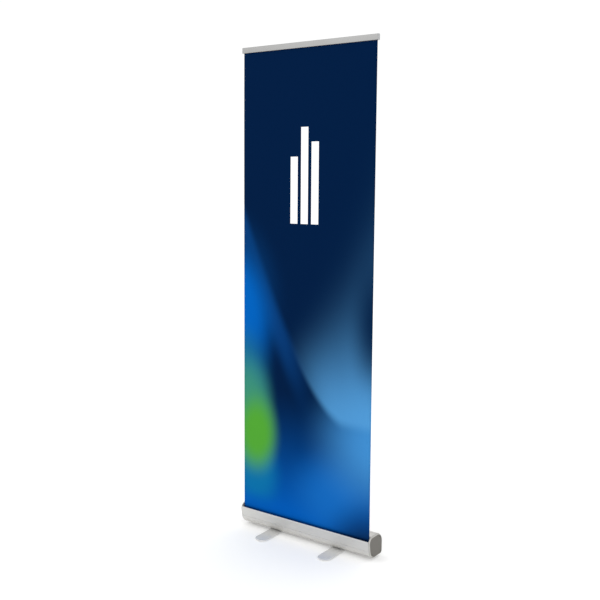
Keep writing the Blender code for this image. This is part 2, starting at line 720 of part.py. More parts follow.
def make_pole_cup(materials):
    """A moulded cup behind the rail that drops over the pole's tip, with a flange screwed to the rail."""
    back = SHEET_Y + RAIL_HALF_DEPTH + GAP
    bore = UPPER_RADIUS + GAP
    outer = bore + CUP_WALL
    top = RAIL_LOW + RAIL_HEIGHT
    low = RAIL_LOW + CUP_LOW
    body = bmesh.new()
    outline = [(-outer, back), (outer, back), (outer, POLE_CENTRE_Y)]
    half_turn = SMALL_STEPS // 2
    for step in range(1, half_turn):
        angle = math.pi * step / half_turn
        outline.append((outer * math.cos(angle), POLE_CENTRE_Y + outer * math.sin(angle)))
    outline.append((-outer, POLE_CENTRE_Y))
    add_prism(body, outline, low, top, along_z)
    cup = add_object("pole_cup", body, materials["black_plastic"], smooth=True)

    flange = bmesh.new()
    flange_outline = rectangle(
        -CUP_FLANGE_HALF_WIDTH,
        CUP_FLANGE_HALF_WIDTH,
        RAIL_LOW + CUP_FLANGE_LOW,
        RAIL_LOW + CUP_FLANGE_HIGH,
    )
    add_prism(flange, flange_outline, back, back + CUP_FLANGE_THICKNESS, along_y)
    combine(cup, make_cutter("cut_cup_flange", flange), "UNION")

    holes = bmesh.new()
    add_prism(holes, circle((0, POLE_CENTRE_Y), bore, ROUND_STEPS), low - PAST, CUP_CEILING, along_z)
    height = RAIL_LOW + (CUP_FLANGE_LOW + CUP_FLANGE_HIGH) / 2
    for side in (-1, 1):
        hole = circle((side * CUP_SCREW_X, height), SMALL_SCREW_RADIUS + GAP, SMALL_STEPS)
        add_prism(holes, hole, back - PAST, back + CUP_FLANGE_THICKNESS + PAST, along_y)
    combine(cup, make_cutter("cut_cup", holes), "DIFFERENCE")

    seat = back + CUP_FLANGE_THICKNESS + GAP
    for side, side_name in ((-1, "left"), (1, "right")):
        centre = (side * CUP_SCREW_X, height)
        make_small_screw(materials, "cup_screw_" + side_name, seat, 1, centre, along_y)


def make_small_screw(materials, name, seat, out, centre, place):
    """A pan-head screw: the head's underside is at seat, and out is the way the head faces."""
    head_end = seat + out * SMALL_SCREW_HEAD_HEIGHT
    profile = [
        (SMALL_SCREW_RADIUS, seat - out * SMALL_SCREW_LENGTH),
        (SMALL_SCREW_RADIUS, seat),
        (SMALL_SCREW_HEAD_RADIUS, seat),
        (SMALL_SCREW_HEAD_RADIUS, head_end - out * SMALL_HEAD_ROUND),
        (SMALL_SCREW_HEAD_RADIUS * 0.7, head_end),
        (SMALL_SCREW_HEAD_RADIUS * 0.45, head_end),
        (SMALL_SCREW_DIMPLE_RADIUS, head_end - out * SMALL_SCREW_DIMPLE_DEPTH),
    ]
    make_lathe(name, profile, SMALL_STEPS, place, centre, materials["zinc_steel"])


# ---- pole -------------------------------------------------------------------------------------------------------
def make_pole(materials):
    centre = (0, POLE_CENTRE_Y)
    metal = materials["brushed_aluminium"]
    sections = (
        ("pole_lower", LOWER_RADIUS, LOWER_LOW, LOWER_LOW + SECTION_LENGTH),
        ("pole_middle", MIDDLE_RADIUS, MIDDLE_LOW, MIDDLE_LOW + SECTION_LENGTH),
        ("pole_upper", UPPER_RADIUS, UPPER_LOW, UPPER_TOP),
    )
    for name, radius, low, high in sections:
        make_tube(name, radius - POLE_WALL, radius, low, high, along_z, centre, metal)
    insert = UPPER_RADIUS - POLE_WALL - GAP
    profile = [
        (insert - TIP_CHAMFER, UPPER_TOP - TIP_INSERT),
        (insert, UPPER_TOP - TIP_INSERT + TIP_CHAMFER),
        (insert, UPPER_TOP + GAP),
        (UPPER_RADIUS, UPPER_TOP + GAP),
        (UPPER_RADIUS, UPPER_TOP + TIP_HEIGHT - TIP_CROWN),
        (UPPER_RADIUS - TIP_SHOULDER, UPPER_TOP + TIP_HEIGHT - TIP_SHOULDER_DROP),
        (UPPER_RADIUS - TIP_CROWN, UPPER_TOP + TIP_HEIGHT),
    ]
    make_lathe("pole_tip", profile, ROUND_STEPS, along_z, centre, materials["black_plastic"])


def make_collar(materials, name, outer_tube, inner_tube, tube_top):
    """A ribbed twist ring over the end of one tube, with a ledge that grips the thinner tube."""
    centre = (0, POLE_CENTRE_Y)
    steps = COLLAR_RIBS * 4
    wide = outer_tube + GAP
    narrow = inner_tube + GAP
    ledge_low = tube_top + GAP
    top = ledge_low + COLLAR_LEDGE
    low = top - COLLAR_LENGTH
    radius = wide + COLLAR_WALL
    levels = [
        (radius - COLLAR_CHAMFER, low, 0),
        (radius, low + COLLAR_CHAMFER, 0),
        (radius, low + COLLAR_RIB_START, COLLAR_RIB_DEPTH),
        (radius, top - COLLAR_RIB_STOP, COLLAR_RIB_DEPTH),
        (radius, top - COLLAR_RIB_START, 0),
        (radius - COLLAR_TOP_TAPER, top, 0),
        (narrow, top, 0),
        (narrow, ledge_low, 0),
        (wide, ledge_low, 0),
        (wide, low, 0),
    ]
    body = bmesh.new()
    rings = []
    for level_radius, height, rib in levels:
        ring = []
        for index in range(steps):
            angle = 2 * math.pi * index / steps
            here = level_radius - (rib if index % 4 in (2, 3) else 0)
            x = centre[0] + here * math.cos(angle)
            y = centre[1] + here * math.sin(angle)
            ring.append(body.verts.new((x, y, height)))
        rings.append(ring)
    for near, far in zip(rings, rings[1:] + rings[:1]):
        for index in range(steps):
            following = (index + 1) % steps
            body.faces.new([near[index], near[following], far[following], far[index]])
    add_object(name, body, materials["black_plastic"], smooth=True)


def make_socket(materials):
    """The moulded insert that the pole stands in, screwed down through its flange."""
    centre = (0, POLE_CENTRE_Y)
    flange_low = SHELL_TOP + GAP
    flange_top = flange_low + FLANGE_HEIGHT
    body = bmesh.new()
    corners = [
        (-FLANGE_HALF_WIDTH, POLE_CENTRE_Y - FLANGE_HALF_DEPTH, FLANGE_CORNER),
        (FLANGE_HALF_WIDTH, POLE_CENTRE_Y - FLANGE_HALF_DEPTH, FLANGE_CORNER),
        (FLANGE_HALF_WIDTH, POLE_CENTRE_Y + FLANGE_HALF_DEPTH, FLANGE_CORNER),
        (-FLANGE_HALF_WIDTH, POLE_CENTRE_Y + FLANGE_HALF_DEPTH, FLANGE_CORNER),
    ]
    add_prism(body, rounded_path(corners, 5), flange_low, flange_top, along_z)
    socket = add_object("pole_socket", body, materials["black_plastic"], smooth=True)
    barrel = bmesh.new()
    add_prism(barrel, circle(centre, SOCKET_OUTER, ROUND_STEPS), SOCKET_LOW, flange_low + FLANGE_HEIGHT / 2, along_z)
    combine(socket, make_cutter("cut_socket_barrel", barrel), "UNION")
    holes = bmesh.new()
    floor = SOCKET_LOW + SOCKET_FLOOR
    add_prism(holes, circle(centre, SOCKET_INNER, ROUND_STEPS), floor, flange_top + PAST, along_z)
    for side in (-1, 1):
        hole = circle((side * FLANGE_SCREW_X, POLE_CENTRE_Y), SMALL_SCREW_RADIUS + GAP, SMALL_STEPS)
        add_prism(holes, hole, flange_low - PAST, flange_top + PAST, along_z)
    combine(socket, make_cutter("cut_socket", holes), "DIFFERENCE")
    for side, side_name in ((-1, "left"), (1, "right")):
        place = (side * FLANGE_SCREW_X, POLE_CENTRE_Y)
        make_small_screw(materials, "socket_screw_" + side_name, flange_top + GAP, 1, place, along_z)


# ---- feet -------------------------------------------------------------------------------------------------------
def make_foot(materials, side, side_name):
    """A flat strip with round ends, its origin on the pivot bolt's axis."""
    radius = FOOT_WIDTH / 2
    reach = FOOT_HALF_LENGTH - radius
    outline = []
    for end in (-1, 1):
        for step in range(SMALL_STEPS + 1):
            angle = end * math.pi / 2 - math.pi / 2 + math.pi * step / SMALL_STEPS
            outline.append((radius * math.cos(angle), end * reach + radius * math.sin(angle)))
    body = bmesh.new()
    add_prism(body, outline, FOOT_LOW, FOOT_TOP, along_z)
    foot = add_object("foot_" + side_name, body, materials["brushed_aluminium"], smooth=True)
    foot.location.x = side * FOOT_X
    edge = foot.modifiers.new("rolled_edge", "BEVEL")
    edge.width = FOOT_EDGE
    edge.segments = 2
    edge.limit_method = "ANGLE"
    edge.angle_limit = math.radians(60)
    holes = bmesh.new()
    add_prism(holes, circle((0, 0), BOLT_RADIUS + GAP, SMALL_STEPS), FOOT_LOW - PAST, FOOT_TOP + PAST, along_z)
    for end in (-1, 1):
        centre = (0, end * (FOOT_HALF_LENGTH - PAD_INSET))
        stem_hole = circle(centre, PAD_STEM_RADIUS + GAP, SMALL_STEPS)
        add_prism(holes, stem_hole, FOOT_LOW - PAST, FOOT_LOW + PAD_STEM_HEIGHT + GAP, along_z)
    cutter = make_cutter("cut_foot_" + side_name, holes)
    cutter.location.x = side * FOOT_X
    combine(foot, cutter, "DIFFERENCE")

    for end, end_name in ((-1, "front"), (1, "back")):
        centre = (side * FOOT_X, end * (FOOT_HALF_LENGTH - PAD_INSET))
        profile = [
            (PAD_RADIUS - PAD_ROUND, 0),
            (PAD_RADIUS, PAD_ROUND),
            (PAD_RADIUS, PAD_HEIGHT),
            (PAD_STEM_RADIUS, PAD_HEIGHT),
            (PAD_STEM_RADIUS, FOOT_LOW + PAD_STEM_HEIGHT - STEM_CHAMFER),
            (PAD_STEM_RADIUS - STEM_CHAMFER, FOOT_LOW + PAD_STEM_HEIGHT),
        ]
        name = "pad_" + side_name + "_" + end_name
        make_lathe(name, profile, SMALL_STEPS, along_z, centre, materials["rubber"])


def make_foot_pivot(materials, side, side_name):
    centre = (side * FOOT_X, 0)
    steel = materials["zinc_steel"]
    head_top = FOOT_LOW - GAP
    head_low = head_top - BOLT_HEAD_HEIGHT
    nut_low = SHELL_LOW + SHELL_WALL + GAP
    bolt_top = nut_low + NUT_HEIGHT + BOLT_TIP
    profile = [
        (BOLT_SOCKET_RADIUS, head_low + BOLT_SOCKET_DEPTH),
        (BOLT_SOCKET_RADIUS, head_low),
        (BOLT_HEAD_RADIUS - BOLT_HEAD_ROUND, head_low),
        (BOLT_HEAD_RADIUS, head_low + BOLT_HEAD_ROUND),
        (BOLT_HEAD_RADIUS, head_top),
        (BOLT_RADIUS, head_top),
        (BOLT_RADIUS, bolt_top - STEM_CHAMFER),
        (BOLT_RADIUS - 0.0005, bolt_top),
    ]
    make_lathe("pivot_bolt_" + side_name, profile, SMALL_STEPS, along_z, centre, steel)
    bore = BOLT_RADIUS + GAP
    spacer_low = FOOT_TOP + GAP
    make_tube(
        "spacer_" + side_name,
        bore,
        SPACER_RADIUS,
        spacer_low,
        spacer_low + SPACER_HEIGHT,
        along_z,
        centre,
        materials["black_plastic"],
    )
    nut = bmesh.new()
    hexagon = circle(centre, NUT_RADIUS, 6)
    add_prism(nut, hexagon, nut_low, nut_low + NUT_HEIGHT, along_z)
    nut_object = add_object("lock_nut_" + side_name, nut, steel)
    hole = bmesh.new()
    add_prism(hole, circle(centre, bore, SMALL_STEPS), nut_low - PAST, nut_low + NUT_HEIGHT + PAST, along_z)
    combine(nut_object, make_cutter("cut_nut_" + side_name, hole), "DIFFERENCE")


# ---- joint axes -------------------------------------------------------------------------------------------------
def hang_on(name, point, pieces):
    """Puts an empty on a joint's axis and makes the pieces that move on it its children, where they are."""
    axis = bpy.data.objects.new(name, None)
    axis.empty_display_size = 0.02
    axis.location = point
    bpy.context.scene.collection.objects.link(axis)
    bpy.context.view_layer.update()
    for piece in pieces:
        child = bpy.data.objects[piece]
        child.parent = axis
        child.matrix_parent_inverse = axis.matrix_world.inverted()


def hang_moving_pieces():
    roller_parts = ["roller_tube", "leader_wraps", "roller_plug_left", "roller_plug_right", "spring_anchor"]
    hang_on("roller_axis", (0, *ROLLER_CENTRE), roller_parts)
    rail_parts = ["top_rail", "rail_cap_left", "rail_cap_right", "clamp_bar", "pole_cup", "graphic_sheet"]
    rail_parts += ["cup_screw_left", "cup_screw_right", "pole_upper", "pole_tip"]
    hang_on("rail_axis", (0, POLE_CENTRE_Y, RAIL_LOW), rail_parts)
    hang_on("pole_middle_axis", (0, POLE_CENTRE_Y, MIDDLE_LOW), ["pole_middle"])
    hang_on("collar_lower_axis", (0, POLE_CENTRE_Y, LOWER_LOW + SECTION_LENGTH), ["collar_lower"])
    hang_on("collar_upper_axis", (0, POLE_CENTRE_Y, MIDDLE_LOW + SECTION_LENGTH), ["collar_upper"])
    for side, side_name in ((-1, "left"), (1, "right")):
        foot_parts = ["foot_" + side_name, "pad_" + side_name + "_front", "pad_" + side_name + "_back"]
        hang_on("foot_" + side_name + "_axis", (side * FOOT_X, 0, FOOT_LOW), foot_parts)


def build():
    for item in list(bpy.data.objects):
        bpy.data.objects.remove(item)
    materials = make_materials()
    make_shell(materials)
    make_end_cap(materials, "end_cap_left", -1)
    make_end_cap(materials, "end_cap_right", 1)
    make_cap_screws(materials)
    make_roller(materials)
    make_spring_parts(materials)
    make_sheet(materials)
    make_leader(materials)
    make_rail(materials)
    make_rail_caps(materials)
    make_clamp_bar(materials)
    make_pole_cup(materials)
    make_pole(materials)
    lower_top = LOWER_LOW + SECTION_LENGTH
    middle_top = MIDDLE_LOW + SECTION_LENGTH
    make_collar(materials, "collar_lower", LOWER_RADIUS, MIDDLE_RADIUS, lower_top)
    make_collar(materials, "collar_upper", MIDDLE_RADIUS, UPPER_RADIUS, middle_top)
    make_socket(materials)
    for side, side_name in ((-1, "left"), (1, "right")):
        make_foot(materials, side, side_name)
        make_foot_pivot(materials, side, side_name)
    hang_moving_pieces()


build()
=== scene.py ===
import math

import bmesh
import bpy
from mathutils import Matrix, Vector


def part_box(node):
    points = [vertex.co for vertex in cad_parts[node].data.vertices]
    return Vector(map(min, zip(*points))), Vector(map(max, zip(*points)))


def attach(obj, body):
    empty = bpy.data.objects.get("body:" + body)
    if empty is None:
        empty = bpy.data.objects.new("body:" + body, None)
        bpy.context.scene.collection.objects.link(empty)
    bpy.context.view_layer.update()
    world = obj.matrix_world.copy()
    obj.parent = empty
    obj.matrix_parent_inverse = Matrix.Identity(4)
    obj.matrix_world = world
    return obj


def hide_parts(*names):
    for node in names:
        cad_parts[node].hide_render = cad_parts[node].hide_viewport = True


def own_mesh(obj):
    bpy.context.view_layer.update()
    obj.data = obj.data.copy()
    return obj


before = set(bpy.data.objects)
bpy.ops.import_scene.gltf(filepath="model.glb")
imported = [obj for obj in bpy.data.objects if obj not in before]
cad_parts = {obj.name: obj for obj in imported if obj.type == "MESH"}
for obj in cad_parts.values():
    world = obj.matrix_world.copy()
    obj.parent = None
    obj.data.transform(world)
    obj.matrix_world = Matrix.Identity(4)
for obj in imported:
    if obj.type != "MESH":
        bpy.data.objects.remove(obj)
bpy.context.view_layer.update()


# ---- Cassette housing --------------------------------------------------------------------------------------
# The long floor box is one aluminium extrusion, open along its top where the film comes out, with a narrow
# lip in front of the slot and a crowned hood behind it. It is cut to length, then etched and anodised.

def mm(value):
    return value / 1000


def paint(code):
    """An sRGB hex colour as the linear colour that a shader takes."""
    parts = [int(code[i:i + 2], 16) / 255 for i in (1, 3, 5)]
    linear = [c / 12.92 if c <= 0.04045 else ((c + 0.055) / 1.055) ** 2.4 for c in parts]
    return (*linear, 1.0)


def add_node(tree, kind, settings, inputs):
    """Adds one shader node with its settings, and fills or links its inputs."""
    made = tree.nodes.new(kind)
    for name, value in settings.items():
        setattr(made, name, value)
    for name, value in inputs.items():
        if isinstance(value, bpy.types.NodeSocket):
            tree.links.new(value, made.inputs[name])
        else:
            made.inputs[name].default_value = value
    return made


def start_material(name, roughness, metallic=0.0):
    material = bpy.data.materials.new(name)
    material.use_nodes = True
    shader = material.node_tree.nodes["Principled BSDF"]
    shader.inputs["Roughness"].default_value = roughness
    shader.inputs["Metallic"].default_value = metallic
    return material, material.node_tree, shader


def rounded_outline(corners, steps):
    """A path through corners given as (y, z, radius), each turned by an arc of that radius."""
    points = []
    for index, (y, z, radius) in enumerate(corners):
        if radius == 0:
            points.append(Vector((y, z)))
            continue
        here = Vector((y, z))
        into = (Vector(corners[index - 1][:2]) - here).normalized()
        out = (Vector(corners[(index + 1) % len(corners)][:2]) - here).normalized()
        half = into.angle(out) / 2
        centre = here + (into + out).normalized() * radius / math.sin(half)
        first = here + into * radius / math.tan(half) - centre
        last = here + out * radius / math.tan(half) - centre
        start = math.atan2(first.y, first.x)
        sweep = (math.atan2(last.y, last.x) - start + math.pi) % (2 * math.pi) - math.pi
        for step in range(steps + 1):
            angle = start + sweep * step / steps
            points.append(centre + radius * Vector((math.cos(angle), math.sin(angle))))
    return points


def inner_outline(points, wall, closed=False):
    """The same path moved to its left by the wall's thickness."""
    moved = []
    for index, here in enumerate(points):
        sides = []
        if closed or index > 0:
            run = (here - points[index - 1]).normalized()
            sides.append(Vector((-run.y, run.x)))
        if closed or index < len(points) - 1:
            run = (points[(index + 1) % len(points)] - here).normalized()
            sides.append(Vector((-run.y, run.x)))
        middle = sum(sides, Vector((0, 0))).normalized()
        moved.append(here + middle * wall / middle.dot(sides[0]))
    return moved


def piece_from(name, mesh_data, materials, sharp=35):
    """Turns finished mesh data into a shaded object, smooth but for edges sharper than the angle."""
    bmesh.ops.recalc_face_normals(mesh_data, faces=mesh_data.faces)
    for face in mesh_data.faces:
        face.smooth = True
    mesh = bpy.data.meshes.new(name)
    mesh_data.to_mesh(mesh)
    mesh_data.free()
    mesh.set_sharp_from_angle(angle=math.radians(sharp))
    for material in materials:
        mesh.materials.append(material)
    made = bpy.data.objects.new(name, mesh)
    bpy.context.scene.collection.objects.link(made)
    return made


def extrude_section(mesh_data, section, start, end):
    """A bar of that (y, z) section, drawn along X from start to end."""
    near = [mesh_data.verts.new((start, p[0], p[1])) for p in section]
    far = [mesh_data.verts.new((end, p[0], p[1])) for p in section]
    mesh_data.faces.new(near)
    mesh_data.faces.new(list(reversed(far)))
    for index in range(len(section)):
        after = (index + 1) % len(section)
        mesh_data.faces.new([near[index], far[index], far[after], near[after]])


def fixed_mesh(made):
    """Keeps the shape that the modifiers give and drops the modifiers."""
    bpy.context.view_layer.update()
    shape = bpy.data.meshes.new_from_object(made.evaluated_get(bpy.context.evaluated_depsgraph_get()))
    made.modifiers.clear()
    made.data = shape
    return made


def cut_away(made, mesh_data):
    """Cuts closed shapes out of a piece."""
    cutter = piece_from("cutter", mesh_data, [])
    cut = made.modifiers.new("cut", "BOOLEAN")
    cut.object = cutter
    cut.solver = "EXACT"
    fixed_mesh(made)
    made.data.set_sharp_from_angle(angle=math.radians(35))
    bpy.data.objects.remove(cutter)


def add_post(mesh_data, x, y, radius, low, high, sides=32):
    """A round upright bar, used as a cutter or as part of a piece."""
    ring = [(x + radius * math.cos(2 * math.pi * i / sides), y + radius * math.sin(2 * math.pi * i / sides))
            for i in range(sides)]
    bottom = [mesh_data.verts.new((*p, low)) for p in ring]
    top = [mesh_data.verts.new((*p, high)) for p in ring]
    mesh_data.faces.new(list(reversed(bottom)))
    mesh_data.faces.new(top)
    for index in range(sides):
        after = (index + 1) % sides
        mesh_data.faces.new([bottom[index], bottom[after], top[after], top[index]])


# Satin anodised aluminium: the die leaves faint lines along the bar, and the etched oxide scatters a soft
# highlight. Real die lines are about 0.1 mm apart, so they are drawn near 0.6 mm to show at all.
def anodised(name, tone, line_axis, roughness):
    material, tree, shader = start_material(name, roughness, metallic=1.0)
    place = add_node(tree, "ShaderNodeTexCoord", {}, {})
    stretch = [1 / mm(0.6)] * 3
    stretch[line_axis] = 1 / mm(90)
    drawn = add_node(tree, "ShaderNodeMapping", {}, {"Vector": place.outputs["Object"], "Scale": stretch})
    lines = add_node(tree, "ShaderNodeTexNoise", {}, {
        "Vector": drawn.outputs["Vector"], "Scale": 1.0, "Detail": 3.0, "Roughness": 0.6})
    cloud = add_node(tree, "ShaderNodeTexNoise", {}, {
        "Vector": place.outputs["Object"], "Scale": 1 / mm(120), "Detail": 2.0})
    mixed = add_node(tree, "ShaderNodeMath", {"operation": "MULTIPLY_ADD"}, {
        0: cloud.outputs["Fac"], 1: 0.5, 2: lines.outputs["Fac"]})
    shade = add_node(tree, "ShaderNodeMapRange", {}, {
        "Value": mixed.outputs["Value"], "From Min": 0.45, "From Max": 1.05, "To Min": 0.0, "To Max": 1.0})
    light, dark = tone
    colour = add_node(tree, "ShaderNodeMix", {"data_type": "RGBA"}, {
        "Factor": shade.outputs["Result"], "A": paint(dark), "B": paint(light)})
    tree.links.new(colour.outputs["Result"], shader.inputs["Base Color"])
    rough = add_node(tree, "ShaderNodeMapRange", {}, {
        "Value": lines.outputs["Fac"], "From Min": 0.3, "From Max": 0.7,
        "To Min": roughness - 0.05, "To Max": roughness + 0.07})
    tree.links.new(rough.outputs["Result"], shader.inputs["Roughness"])
    bump = add_node(tree, "ShaderNodeBump", {}, {
        "Height": lines.outputs["Fac"], "Strength": 0.12, "Distance": mm(0.05)})
    tree.links.new(bump.outputs["Normal"], shader.inputs["Normal"])
    return material


anodised_aluminium = anodised("anodised aluminium extrusion", ("#D6D5D2", "#C8C7C4"), 0, 0.44)

shell_low, shell_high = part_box("cassette_shell")
film_low, film_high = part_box("graphic_sheet")
film_y = (film_low.y + film_high.y) / 2
shell_wall = mm(1.8)
shell_height = mm(87.5)
shell_top = shell_low.z + shell_height
front_face = film_y - mm(16.5)
front_lean = mm(13.3)
lip_height = mm(73)
groove_half = mm(1.2)
groove_depth = mm(0.8)

section_corners = [
    (film_y + mm(4.5), shell_low.z + mm(75), 0),
    (film_y + mm(4.5), shell_top, mm(4)),
    (film_y + mm(83), shell_top, mm(38)),
    (film_y + mm(83), shell_low.z, mm(14)),
    (front_face + front_lean, shell_low.z, mm(38)),
    (front_face, shell_low.z + lip_height, mm(2.5)),
    (film_y - mm(11), shell_low.z + lip_height, 0),
]
outer = rounded_outline(section_corners, 16)
inner = inner_outline(outer, -shell_wall)


def with_groove(points, centre, along, into):
    """Lets a small groove with sloped sides into the straight stretch that passes the centre."""
    for index in range(len(points) - 1):
        start, end = points[index], points[index + 1]
        spans_centre = (start - centre).dot(along) < 0 < (end - centre).dot(along)
        if spans_centre and (start - end).length > 6 * groove_half:
            cut = []
            for step, depth in ((-1.0, 0), (-0.7, 1), (0.7, 1), (1.0, 0)):
                cut.append(centre + along * groove_half * step + into * groove_depth * depth)
            return points[:index + 1] + cut + points[index + 1:]
    return points


# one shallow groove runs along the front face and one along the top, where the die marks the parts' seats
lean = Vector((-front_lean, lip_height)).normalized()
front_point = Vector((front_face + front_lean, shell_low.z)) + lean * mm(35.5)
outer = with_groove(outer, front_point, lean, Vector((lean.y, -lean.x)))
outer = with_groove(outer, Vector((film_y + mm(41), shell_top)), Vector((1, 0)), Vector((0, -1)))
bar = bmesh.new()
extrude_section(bar, outer + list(reversed(inner)), shell_low.x, shell_high.x)
housing = piece_from("cassette_housing", bar, [anodised_aluminium], sharp=24)
socket_low, socket_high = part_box("pole_socket")
pole_y = (socket_low.y + socket_high.y) / 2
foot_x = (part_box("foot_right")[0].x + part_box("foot_right")[1].x) / 2
openings = bmesh.new()
add_post(openings, 0, pole_y, mm(12.1), shell_top - mm(3), shell_top + mm(1), 48)
for side in (-1, 1):
    add_post(openings, side * mm(17), pole_y, mm(1.6), shell_top - mm(3), shell_top + mm(1))
    add_post(openings, side * foot_x, 0, mm(3.3), shell_low.z - mm(1), shell_low.z + mm(3))
cut_away(housing, openings)
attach(housing, "cassette")
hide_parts("cassette_shell")


# ---- End caps ----------------------------------------------------------------------------------------------
# A moulded ABS cap closes each end of the housing and holds an axle of the roller in a boss inside it.
# It sits just inside the metal's outline, so the cut edge of the extrusion frames it as a bright line.

# Injection-moulded plastic with a spark-eroded grain: dull, with a slight cloudiness from the mould.
def moulded(name, code, roughness, grain):
    material, tree, shader = start_material(name, roughness)
    place = add_node(tree, "ShaderNodeTexCoord", {}, {})
    speck = add_node(tree, "ShaderNodeTexNoise", {}, {
        "Vector": place.outputs["Object"], "Scale": 1 / mm(grain), "Detail": 4.0})
    cloud = add_node(tree, "ShaderNodeTexNoise", {}, {
        "Vector": place.outputs["Object"], "Scale": 1 / mm(35), "Detail": 2.0})
    both = add_node(tree, "ShaderNodeMath", {"operation": "MULTIPLY_ADD"}, {
        0: speck.outputs["Fac"], 1: 0.5, 2: cloud.outputs["Fac"]})
    lift = add_node(tree, "ShaderNodeMapRange", {}, {
        "Value": both.outputs["Value"], "From Min": 0.5, "From Max": 1.0, "To Min": 0.88, "To Max": 1.12})
    base = paint(code)
    tint = add_node(tree, "ShaderNodeMix", {"data_type": "RGBA", "blend_type": "MULTIPLY"}, {
        "Factor": 1.0, "A": base, "B": lift.outputs["Result"]})
    tree.links.new(tint.outputs["Result"], shader.inputs["Base Color"])
    bump = add_node(tree, "ShaderNodeBump", {}, {
        "Height": speck.outputs["Fac"], "Strength": 0.25, "Distance": mm(0.08)})
    tree.links.new(bump.outputs["Normal"], shader.inputs["Normal"])
    return material


def finish_with(material, *names):
    """Gives CAD pieces their real finish."""
    for name in names:
        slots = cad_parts[name].data.materials
        slots.clear()
        slots.append(material)


grained_abs_with_painted_shade = moulded("spark-grained grey ABS", "#B2B1AD", 0.55, 0.9)

# The flat of the cap is painted shade: a darker, coarser grained field that stops where the rounded edge
# begins.
tree = grained_abs_with_painted_shade.node_tree
shader = tree.nodes["Principled BSDF"]
plain = shader.inputs["Base Color"].links[0].from_socket
place = add_node(tree, "ShaderNodeTexCoord", {}, {})
sides = add_node(tree, "ShaderNodeSeparateXYZ", {}, {"Vector": place.outputs["Object"]})
reach = add_node(tree, "ShaderNodeMath", {"operation": "ABSOLUTE"}, {0: sides.outputs["X"]})
cap_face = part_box("end_cap_right")[1].x
shaded_face_mask = add_node(tree, "ShaderNodeMapRange", {}, {
    "Value": reach.outputs["Value"], "From Min": cap_face - mm(0.12), "From Max": cap_face - mm(0.04)})
coarse = add_node(tree, "ShaderNodeTexNoise", {}, {
    "Vector": place.outputs["Object"], "Scale": 1 / mm(2.5), "Detail": 5.0, "Roughness": 0.7})
# painted shade: two dark greys for the cap's flat face, against the lighter grey of its rounded edge
painted_shade_field = add_node(tree, "ShaderNodeMix", {"data_type": "RGBA"}, {
    "Factor": coarse.outputs["Fac"], "A": paint("#58554F"), "B": paint("#6F6C66")})
both = add_node(tree, "ShaderNodeMix", {"data_type": "RGBA"}, {
    "Factor": shaded_face_mask.outputs["Result"], "A": plain, "B": painted_shade_field.outputs["Result"]})
tree.links.new(both.outputs["Result"], shader.inputs["Base Color"])
finish_with(grained_abs_with_painted_shade, "end_cap_left", "end_cap_right")


# ---- Screws, bolts, nuts and axles -------------------------------------------------------------------------
# All the fixings are bought-in steel, turned or cold formed and zinc plated, so they are a cool, slightly
# blotchy grey with a tight highlight.

def zinc_plated(name):
    material, tree, shader = start_material(name, 0.32, metallic=1.0)
    place = add_node(tree, "ShaderNodeTexCoord", {}, {})
    bloom = add_node(tree, "ShaderNodeTexNoise", {}, {
        "Vector": place.outputs["Object"], "Scale": 1 / mm(4), "Detail": 4.0})
    tone = add_node(tree, "ShaderNodeMix", {"data_type": "RGBA"}, {
        "Factor": bloom.outputs["Fac"], "A": paint("#A9ABAC"), "B": paint("#D2D3D1")})
    tree.links.new(tone.outputs["Result"], shader.inputs["Base Color"])
    dull = add_node(tree, "ShaderNodeMapRange", {}, {
        "Value": bloom.outputs["Fac"], "From Min": 0.3, "From Max": 0.7, "To Min": 0.24, "To Max": 0.42})
    tree.links.new(dull.outputs["Result"], shader.inputs["Roughness"])
    return material


zinc_steel = zinc_plated("zinc plated steel")
finish_with(
    zinc_steel,
    "cup_screw_left", "cup_screw_right", "socket_screw_left", "socket_screw_right",
    "pivot_bolt_left", "pivot_bolt_right", "lock_nut_left", "lock_nut_right", "spring_axle", "stub_axle",
)


# Black oxide on the screws of the end caps: a thin dull black with the steel's gloss under it.
black_oxide, tree, shader = start_material("black oxide steel", 0.42, metallic=0.6)
place = add_node(tree, "ShaderNodeTexCoord", {}, {})
bloom = add_node(tree, "ShaderNodeTexNoise", {}, {
    "Vector": place.outputs["Object"], "Scale": 1 / mm(2), "Detail": 3.0})
tone = add_node(tree, "ShaderNodeMix", {"data_type": "RGBA"}, {
    "Factor": bloom.outputs["Fac"], "A": paint("#2E2D2B"), "B": paint("#4A4845")})
tree.links.new(tone.outputs["Result"], shader.inputs["Base Color"])
for side in ("left", "right"):
    for number in (1, 2, 3):
        finish_with(black_oxide, f"cap_screw_{side}_{number}")


# ---- Roller, spring and leader -----------------------------------------------------------------------------
# Inside the housing a drawn aluminium tube turns on two axles, driven back by a torsion spring of oiled wire.
# A clear polyester leader joins the print to the tube, and its last turns stay on it.

drawn_aluminium = anodised("drawn aluminium tube", ("#CFCFCE", "#B4B4B3"), 0, 0.30)
finish_with(drawn_aluminium, "roller_tube")

black_nylon = moulded("moulded black nylon", "#1B1B1C", 0.48, 0.7)
finish_with(black_nylon, "roller_plug_left", "roller_plug_right", "spring_anchor")

# Patented spring wire: near black from its heat treatment, with an oily sheen.
spring_wire, tree, shader = start_material("oiled spring wire", 0.3, metallic=1.0)
place = add_node(tree, "ShaderNodeTexCoord", {}, {})
scale_marks = add_node(tree, "ShaderNodeTexNoise", {}, {
    "Vector": place.outputs["Object"], "Scale": 1 / mm(3), "Detail": 3.0})
oiled = add_node(tree, "ShaderNodeMix", {"data_type": "RGBA"}, {
    "Factor": scale_marks.outputs["Fac"], "A": paint("#3A3B3E"), "B": paint("#77787A")})
tree.links.new(oiled.outputs["Result"], shader.inputs["Base Color"])
finish_with(spring_wire, "torsion_spring")

